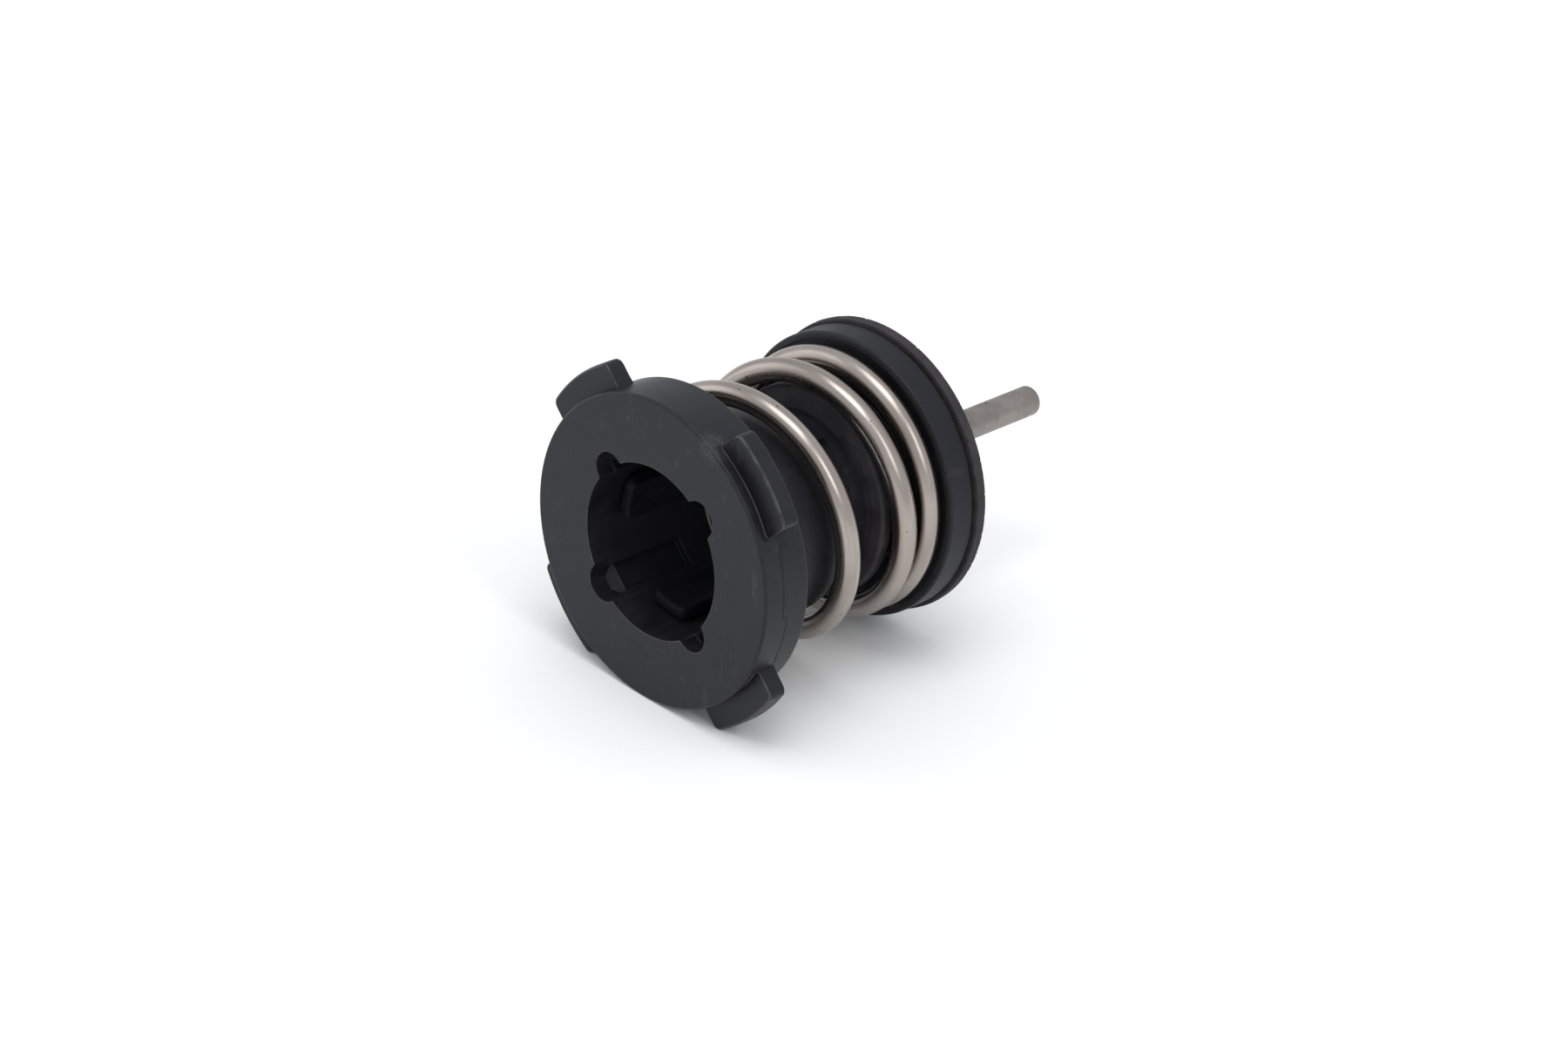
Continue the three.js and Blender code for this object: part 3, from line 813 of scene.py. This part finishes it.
def add_o_ring(material):
    """The O-ring round the spindle, in the gland behind the carrier."""
    radius = SPINDLE_RADIUS + O_RING_CORD + O_RING_GAP
    depth = SPIGOT_BACK - O_RING_CORD - O_RING_GAP
    section = [
        (radius + O_RING_CORD * math.cos(turn), depth + O_RING_CORD * math.sin(turn), 0.0)
        for turn in (math.radians(15 * i) for i in range(24))
    ]
    return add_turned(
        "o_ring", lambda angle: section, around(96), "valve", "seal_rubber", material, "spindle_o_ring")


# ---------- spindle and what holds the rear seal on it ----------

def add_spindle(material):
    """The steel spindle: head in the carrier, a groove for the clip, rounded tip."""
    section = rounded([
        (0, HEAD_START, 0),
        (SPINDLE_HEAD, HEAD_START, 0.2),
        (SPINDLE_HEAD, HEAD_END, 0.1),
        (SPINDLE_RADIUS, HEAD_END, 0.1),
        (SPINDLE_RADIUS, CLIP_START - GAP, 0.04),
        (CLIP_GROOVE, CLIP_START - GAP, 0.04),
        (CLIP_GROOVE, CLIP_END + GAP, 0.04),
        (SPINDLE_RADIUS, CLIP_END + GAP, 0.04),
        (SPINDLE_RADIUS, SPINDLE_TIP, 0.6, 10),
        (0, SPINDLE_TIP, 0),
    ])
    return add_turned(
        "spindle_rod", lambda angle: section, around(96),
        "valve", "spindle_steel", material, "spindle")


def add_retainer(material):
    """The pressed steel disc that clamps the rear seal, its rim stepped down towards the rubber."""
    section = rounded([
        (SPINDLE_RADIUS + GAP, RETAINER_START, 0.1),
        (RETAINER_RADIUS, RETAINER_START, 0.12),
        (RETAINER_RADIUS, RETAINER_END - RETAINER_STEP, 0.2),
        (RETAINER_RADIUS - 0.6, RETAINER_END - RETAINER_STEP, 0.25),
        (RETAINER_RADIUS - 1.5, RETAINER_END, 0.5),
        (SPINDLE_RADIUS + GAP, RETAINER_END, 0.12),
    ])
    return add_turned(
        "retainer_disc", lambda angle: section, around(180),
        "valve", "retainer_steel", material, "seal_retainer")


def add_clip(material):
    """The E-clip: an open ring with three gripping pads and two relief bays."""
    mouth = math.radians(38)
    bay_middle = math.radians(62)
    bay = math.radians(26)
    bay_ease = math.radians(7)
    bay_radius = (CLIP_GRIP + CLIP_RADIUS) / 2
    steps = 150
    end_steps = 4
    end_rounding = 0.25
    edge = 0.07

    def inner(angle):
        """The ring's inner radius: on a pad, in a bay, or between them."""
        beside_bay = abs(abs(math.pi - angle) - bay_middle)
        return CLIP_GRIP + (bay_radius - CLIP_GRIP) * ramp((bay - beside_bay) / bay_ease)

    bm = bmesh.new()
    rings = []
    for i in range(steps + 1):
        angle = mouth + (2 * math.pi - 2 * mouth) * i / steps
        end_inset = end_rounding * shoulder(min(i, steps - i) / end_steps, 1.0)
        section = rounded([
            (inner(angle) + end_inset, CLIP_START, edge),
            (CLIP_RADIUS - end_inset, CLIP_START, edge),
            (CLIP_RADIUS - end_inset, CLIP_END, edge),
            (inner(angle) + end_inset, CLIP_END, edge),
        ])
        rings.append([bm.verts.new(place(radius, angle, depth)) for radius, depth, _ in section])
    size = len(rings[0])
    for ring, following in zip(rings, rings[1:]):
        for k in range(size):
            n = (k + 1) % size
            bm.faces.new((ring[k], ring[n], following[n], following[k]))
    bm.faces.new(rings[0])
    bm.faces.new(rings[-1])
    mesh = mesh_from(bm, "clip_ring")
    return finish_mesh("clip_ring", mesh, "valve", "retainer_steel", material, "e_clip")


# ---------- stage, light and camera ----------

FLOOR_WHITE = (0.93, 0.93, 0.93)
FLOOR_TONES = ((0.92, 0.92, 0.92), (0.94, 0.94, 0.94))
FLOOR_HALF_WIDTH = 4
LAMP_DISTANCE = 0.9
STUDIO_COLOR = (0.95, 0.97, 1.0)
STUDIO_LIGHT = 0.8
FOCAL_LENGTH = 100
SENSOR_WIDTH = 36
CAMERA_FROM_FACE = Vector((0.26236, -0.25882, 0.20403))
CAMERA_AZIMUTH = math.radians(43.41)
CAMERA_ELEVATION = math.radians(28.45)
CAMERA_ROLL = math.radians(4.61)


def towards(azimuth, elevation):
    """The direction from the object to that side. Azimuth 0 is in front, 90 degrees is +X."""
    return Vector((
        math.sin(azimuth) * math.cos(elevation),
        -math.cos(azimuth) * math.cos(elevation),
        math.sin(elevation),
    ))


def add_floor():
    """A plain pale floor."""
    paint = Paint("floor_white", FLOOR_WHITE, roughness=0.9, sheen=0.1)
    paint.color(paint.blend(paint.noise(3), *FLOOR_TONES))
    bm = bmesh.new()
    bmesh.ops.create_grid(bm, x_segments=8, y_segments=8, size=FLOOR_HALF_WIDTH)
    mesh = mesh_from(bm, "floor")
    mesh.materials.append(paint.material)
    floor = bpy.data.objects.new("floor", mesh)
    bpy.context.scene.collection.objects.link(floor)


def add_softbox(name, azimuth, elevation, size, power):
    """An area light that faces the object from that side."""
    light = bpy.data.lights.new(name, "AREA")
    light.shape = "RECTANGLE"
    light.size, light.size_y = size
    light.energy = power
    lamp = bpy.data.objects.new(name, light)
    away = towards(math.radians(azimuth), math.radians(elevation))
    lamp.location = Vector((0, 0, AXIS_Z)) + away * LAMP_DISTANCE
    lamp.rotation_mode = "QUATERNION"
    lamp.rotation_quaternion = away.to_track_quat("Z", "Y")
    bpy.context.scene.collection.objects.link(lamp)


def add_world():
    """Even white light from all round."""
    world = bpy.data.worlds.new("studio")
    world.use_nodes = True
    background = world.node_tree.nodes["Background"]
    background.inputs["Color"].default_value = (*STUDIO_COLOR, 1)
    background.inputs["Strength"].default_value = STUDIO_LIGHT
    bpy.context.scene.world = world


def add_camera():
    """The photograph's viewpoint, measured from the middle of the front face."""
    data = bpy.data.cameras.new("camera")
    data.lens = FOCAL_LENGTH
    data.sensor_width = SENSOR_WIDTH
    data.clip_start = 0.01
    camera = bpy.data.objects.new("camera", data)
    camera.location = place(0, 0, 0) + CAMERA_FROM_FACE
    back = towards(CAMERA_AZIMUTH, CAMERA_ELEVATION)
    camera.rotation_mode = "QUATERNION"
    camera.rotation_quaternion = back.to_track_quat("Z", "Y") @ Quaternion((0, 0, 1), CAMERA_ROLL)
    bpy.context.scene.collection.objects.link(camera)
    bpy.context.scene.camera = camera


# ---------- the scene ----------

# where the pale flecks sit: partly scrapes, partly painted highlight
scrape_and_highlight = place(RING_RADIUS, SCRAPE_AND_HIGHLIGHT_ANGLE, SCRAPE_AND_HIGHLIGHT_DEPTH)
seat_plastic = moulded_plastic("seat_plastic", SEAT_TONES, 0.42, PLASTIC_SHEEN, scrape_and_highlight)
carrier_plastic = moulded_plastic("carrier_plastic", CARRIER_TONES, 0.5, PLASTIC_SHEEN)
finger_plastic = moulded_plastic("finger_plastic", CARRIER_TONES, 0.5, FINGER_SHEEN)
rubber = seal_rubber("seal_rubber")
plate_steel = turned_steel("retainer_steel", PLATE_STEEL, roughness=0.34, rings=5000, depth=0.006)
spindle_steel = turned_steel("spindle_steel", SPINDLE_STEEL, roughness=0.46, rings=9000, depth=0.012)

add_seat_body(seat_plastic)
add_spring(drawn_wire("drawn_wire"))
add_carrier(carrier_plastic, finger_plastic)
add_front_seal(rubber)
add_rear_seal(rubber)
add_o_ring(rubber)
add_spindle(spindle_steel)
add_retainer(plate_steel)
add_clip(plate_steel)

add_floor()
add_world()
add_softbox("overhead", azimuth=20, elevation=78, size=(0.55, 0.55), power=3)
add_softbox("left", azimuth=-60, elevation=20, size=(0.5, 0.8), power=1)
add_softbox("right", azimuth=80, elevation=38, size=(0.24, 0.5), power=1)
add_camera()
bpy.context.scene.view_settings.view_transform = "Standard"

bpy.context.view_layer.update()
